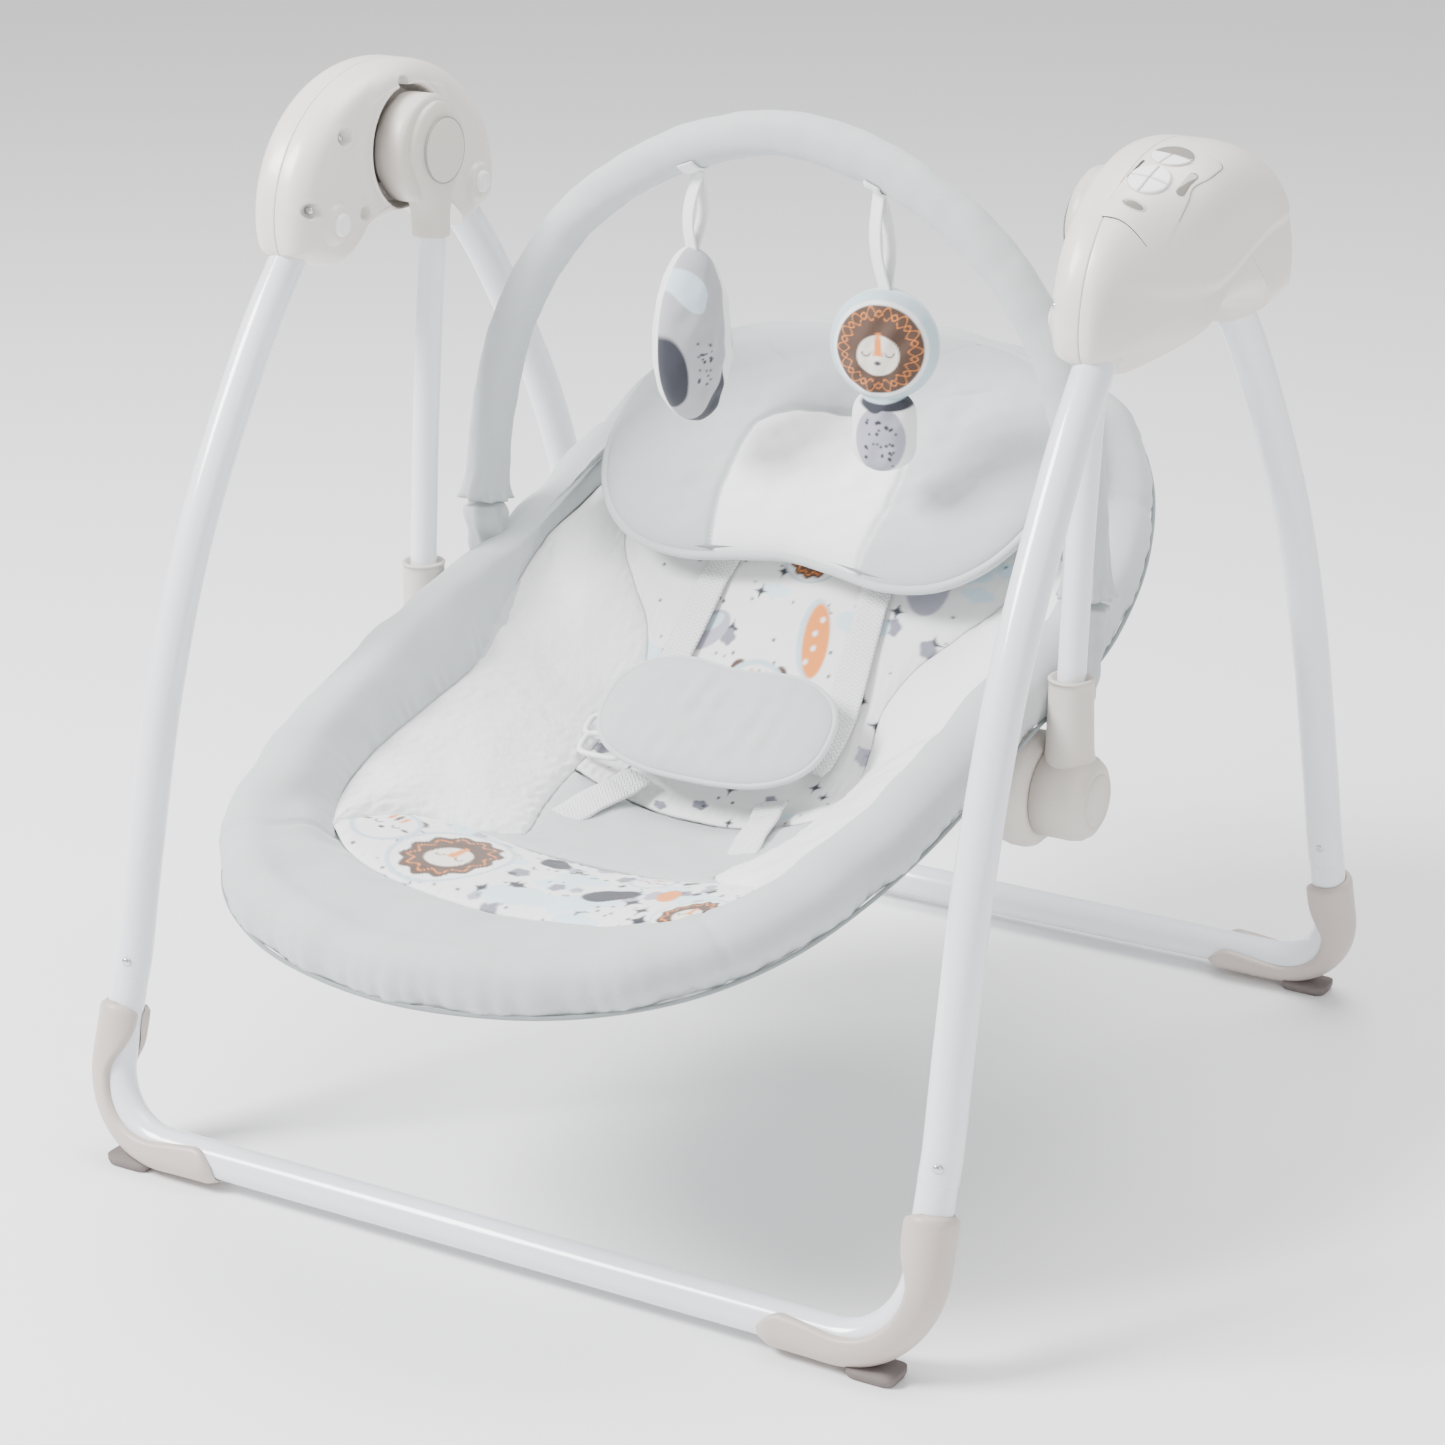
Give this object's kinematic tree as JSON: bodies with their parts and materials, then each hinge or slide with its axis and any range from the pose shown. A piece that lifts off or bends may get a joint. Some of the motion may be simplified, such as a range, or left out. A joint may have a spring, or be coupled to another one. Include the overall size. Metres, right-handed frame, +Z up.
{
  "type": "baby swing",
  "caption": "Folding tubular baby swing: two U-shaped leg frames in a motor head and a plain head, a hanging reclining padded seat with harness, and a toy arch.",
  "frame": {"origin": "on the floor, under the centre of the whole swing's box", "axes": "+X to the motor head side, -Y to the front of the seat, +Z up"},
  "size_m": [0.5968, 0.6842, 0.607],
  "materials": {
    "tube_white": "gloss white enamel",
    "head_plastic": "pearl cream, satin gloss",
    "hub_plastic": "warm grey, satin",
    "shoe_plastic": "warm grey, satin",
    "key_white": "white, gloss",
    "lens": "smoked translucent window",
    "foot_rubber": "grey-brown, matt",
    "steel": "zinc plated",
    "gear_nylon": "natural nylon",
    "board_green": "solder mask",
    "battery": "plain wrapped cells",
    "grey_fabric": "heather grey knit",
    "white_fabric": "printed white plush and cotton",
    "webbing": "woven polypropylene tape",
    "plush": "navy, grey and white plush"
  },
  "bodies": {
    "root": {"left_head_inner_shell": "head_plastic", "left_head_outer_shell": "head_plastic", "right_head_inner_shell": "head_plastic", "motor_housing": "head_plastic", "control_panel": "head_plastic", "display_lens": "lens", "drive_motor": "steel", "circuit_board": "board_green", "battery_pack": "battery", "pivot_plate_left": "steel", "pivot_plate_right": "steel"},
    "front_frame": {"front_base_tube": "tube_white", "front_leg_left": "tube_white", "front_leg_right": "tube_white", "front_foot_shoe_left": "shoe_plastic", "front_foot_shoe_right": "shoe_plastic", "front_foot_pad_left": "foot_rubber", "front_foot_pad_right": "foot_rubber"},
    "rear_frame": {"rear_base_tube": "tube_white", "rear_leg_left": "tube_white", "rear_leg_right": "tube_white", "rear_foot_shoe_left": "shoe_plastic", "rear_foot_shoe_right": "shoe_plastic", "rear_foot_pad_left": "foot_rubber", "rear_foot_pad_right": "foot_rubber"},
    "swing": {"swing_arm_left": "tube_white", "swing_arm_right": "tube_white", "swing_hub_left": "hub_plastic", "swing_hub_right": "hub_plastic", "recline_hub_left": "hub_plastic", "recline_hub_right": "hub_plastic", "swing_gear": "gear_nylon"},
    "seat": {"recline_disc_left": "hub_plastic", "recline_disc_right": "hub_plastic", "seat_hoop": "tube_white", "backrest_hoop": "tube_white", "front_rim_pad": "grey_fabric", "back_rim_pad": "grey_fabric", "seat_cushion": "white_fabric", "back_cushion": "white_fabric", "headrest_pillow": "grey_fabric", "harness_pad": "grey_fabric", "harness_buckle": "key_white", "harness_strap_left": "webbing", "harness_strap_right": "webbing", "toy_bar_mount_left": "shoe_plastic", "toy_bar_mount_right": "shoe_plastic"},
    "toy_bar": {"toy_bar": "grey_fabric"},
    "toy_left": {"toy_left": "plush"},
    "toy_right": {"toy_right": "plush"},
    "pinion": {"drive_pinion": "gear_nylon"},
    "front_fold_button_left": {"front_fold_button_left": "key_white"},
    "front_fold_button_right": {"front_fold_button_right": "key_white"},
    "rear_fold_button_left": {"rear_fold_button_left": "key_white"},
    "rear_fold_button_right": {"rear_fold_button_right": "key_white"},
    "speed_key": {"speed_key": "key_white"},
    "timer_key": {"timer_key": "key_white"},
    "music_key": {"music_key": "key_white"},
    "volume_key": {"volume_key": "key_white"},
    "power_key": {"power_key": "key_white"}
  },
  "joints": [
    {"name": "front_fold", "type": "hinge", "parent": "root", "child": "front_frame", "pos_m": [-0.01275, -0.00141, 0.558], "axis": [1, 0, 0], "range_deg": [0, 21]},
    {"name": "rear_fold", "type": "hinge", "parent": "root", "child": "rear_frame", "pos_m": [-0.01275, 0.06859, 0.558], "axis": [-1, 0, 0], "range_deg": [0, 21]},
    {"name": "swing_pivot", "type": "hinge", "parent": "root", "child": "swing", "pos_m": [-0.01275, 0.03359, 0.556], "axis": [1, 0, 0], "range_deg": [-16, 16]},
    {"name": "recline", "type": "hinge", "parent": "swing", "child": "seat", "pos_m": [-0.01275, 0.01459, 0.232], "axis": [1, 0, 0], "range_deg": [-12, 10]},
    {"name": "toy_bar_pivot", "type": "hinge", "parent": "seat", "child": "toy_bar", "pos_m": [-0.01275, 0.06359, 0.318], "axis": [-1, 0, 0], "range_deg": [0, 12]},
    {"name": "toy_left_hang", "type": "hinge", "parent": "toy_bar", "child": "toy_left", "pos_m": [-0.07845, 0.07995, 0.56399], "axis": [0.937, 0.0268, 0.3482], "range_deg": [-30, 12]},
    {"name": "toy_right_hang", "type": "hinge", "parent": "toy_bar", "child": "toy_right", "pos_m": [0.05295, 0.07995, 0.56399], "axis": [0.937, -0.0268, -0.3482], "range_deg": [-30, 12]},
    {"name": "pinion_spin", "type": "hinge", "parent": "root", "child": "pinion", "pos_m": [0.26875, 0.03359, 0.5854], "axis": [1, 0, 0], "range_deg": [-45, 45]},
    {"name": "front_fold_button_left_press", "type": "slide", "parent": "root", "child": "front_fold_button_left", "axis": [-1, 0, 0], "range_m": [0, 0.004], "stiffness_N_per_m": 400},
    {"name": "front_fold_button_right_press", "type": "slide", "parent": "root", "child": "front_fold_button_right", "axis": [1, 0, 0], "range_m": [0, 0.004], "stiffness_N_per_m": 400},
    {"name": "rear_fold_button_left_press", "type": "slide", "parent": "root", "child": "rear_fold_button_left", "axis": [-1, 0, 0], "range_m": [0, 0.004], "stiffness_N_per_m": 400},
    {"name": "rear_fold_button_right_press", "type": "slide", "parent": "root", "child": "rear_fold_button_right", "axis": [1, 0, 0], "range_m": [0, 0.004], "stiffness_N_per_m": 400},
    {"name": "speed_key_press", "type": "slide", "parent": "root", "child": "speed_key", "axis": [-0.2156, 0.454, -0.8645], "range_m": [0, 0.0012], "stiffness_N_per_m": 500},
    {"name": "timer_key_press", "type": "slide", "parent": "root", "child": "timer_key", "axis": [-0.2156, 0.454, -0.8645], "range_m": [0, 0.0012], "stiffness_N_per_m": 500},
    {"name": "music_key_press", "type": "slide", "parent": "root", "child": "music_key", "axis": [-0.2156, 0.454, -0.8645], "range_m": [0, 0.0012], "stiffness_N_per_m": 500},
    {"name": "volume_key_press", "type": "slide", "parent": "root", "child": "volume_key", "axis": [-0.2156, 0.454, -0.8645], "range_m": [0, 0.0012], "stiffness_N_per_m": 500},
    {"name": "power_key_press", "type": "slide", "parent": "root", "child": "power_key", "axis": [-0.2156, 0.454, -0.8645], "range_m": [0, 0.0012], "stiffness_N_per_m": 500}
  ],
  "couplings": [
    {"joint": "pinion_spin", "follows": "swing_pivot", "ratio": -2.5}
  ]
}
